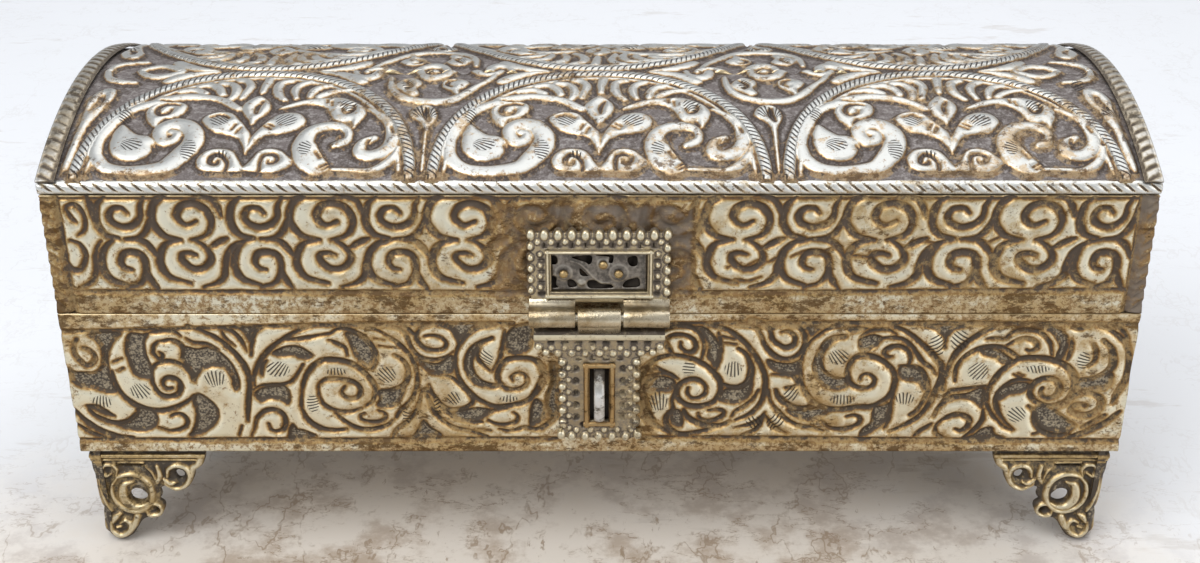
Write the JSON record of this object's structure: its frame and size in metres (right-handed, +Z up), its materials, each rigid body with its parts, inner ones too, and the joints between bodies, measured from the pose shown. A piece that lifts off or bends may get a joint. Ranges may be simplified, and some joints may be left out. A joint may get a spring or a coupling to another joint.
{
  "type": "metal storage box",
  "caption": "Rectangular brass box with a domed hinged lid, chased all over, on pierced scroll feet, closed by a hinged hasp over a staple.",
  "frame": {"origin": "on the floor, under the middle of the box's overall length and depth", "axes": "+X along the box, -Y towards the hasp, +Z up"},
  "size_m": [0.25, 0.0982, 0.1094],
  "materials": {
    "washed_silver": "silver-washed brass, chased, worn, dark in the recesses",
    "gilt_brass": "plain worn brass",
    "dark_brass": "cast brass with a dark patina",
    "bright_steel": "bright worn steel"
  },
  "bodies": {
    "base": {"base_front_wall": "washed_silver", "base_back_wall": "washed_silver", "base_left_end": "washed_silver", "base_right_end": "washed_silver", "base_floor": "gilt_brass", "foot_front_left": "dark_brass", "foot_front_right": "dark_brass", "foot_back_left": "dark_brass", "foot_back_right": "dark_brass", "staple": "bright_steel", "hinge_left_base_leaf": "dark_brass", "hinge_left_base_rivet_1": "gilt_brass", "hinge_left_base_rivet_2": "gilt_brass", "hinge_left_pin": "bright_steel", "hinge_right_base_leaf": "dark_brass", "hinge_right_base_rivet_1": "gilt_brass", "hinge_right_base_rivet_2": "gilt_brass", "hinge_right_pin": "bright_steel"},
    "lid": {"lid_front_wall": "washed_silver", "lid_back_wall": "washed_silver", "lid_left_end": "washed_silver", "lid_right_end": "washed_silver", "lid_dome": "washed_silver", "dome_end_band_left": "washed_silver", "dome_end_band_right": "washed_silver", "shoulder_rope_front": "washed_silver", "shoulder_rope_back": "washed_silver", "hinge_left_lid_leaf": "dark_brass", "hinge_left_lid_rivet_1": "gilt_brass", "hinge_left_lid_rivet_2": "gilt_brass", "hinge_right_lid_leaf": "dark_brass", "hinge_right_lid_rivet_1": "gilt_brass", "hinge_right_lid_rivet_2": "gilt_brass", "hasp_plate": "washed_silver", "hasp_window_frame": "washed_silver", "hasp_scroll": "dark_brass", "hasp_rivet_left": "gilt_brass", "hasp_rivet_right": "gilt_brass", "hasp_rivet_top": "gilt_brass", "hasp_pin": "bright_steel"},
    "hasp": {"hasp_flap": "washed_silver", "hasp_slot_frame": "washed_silver"}
  },
  "joints": [
    {"name": "lid_open", "type": "hinge", "parent": "base", "child": "lid", "pos_m": [0, 0.0467, 0.06585], "axis": [-1, 0, 0], "range_deg": [0, 100]},
    {"name": "hasp_swing", "type": "hinge", "parent": "lid", "child": "hasp", "pos_m": [0, -0.04685, 0.0667], "axis": [-1, 0, 0], "range_deg": [0, 180]}
  ],
  "couplings": [
    {"joint": "hasp_swing", "follows": "lid_open", "ratio": 1.8}
  ]
}
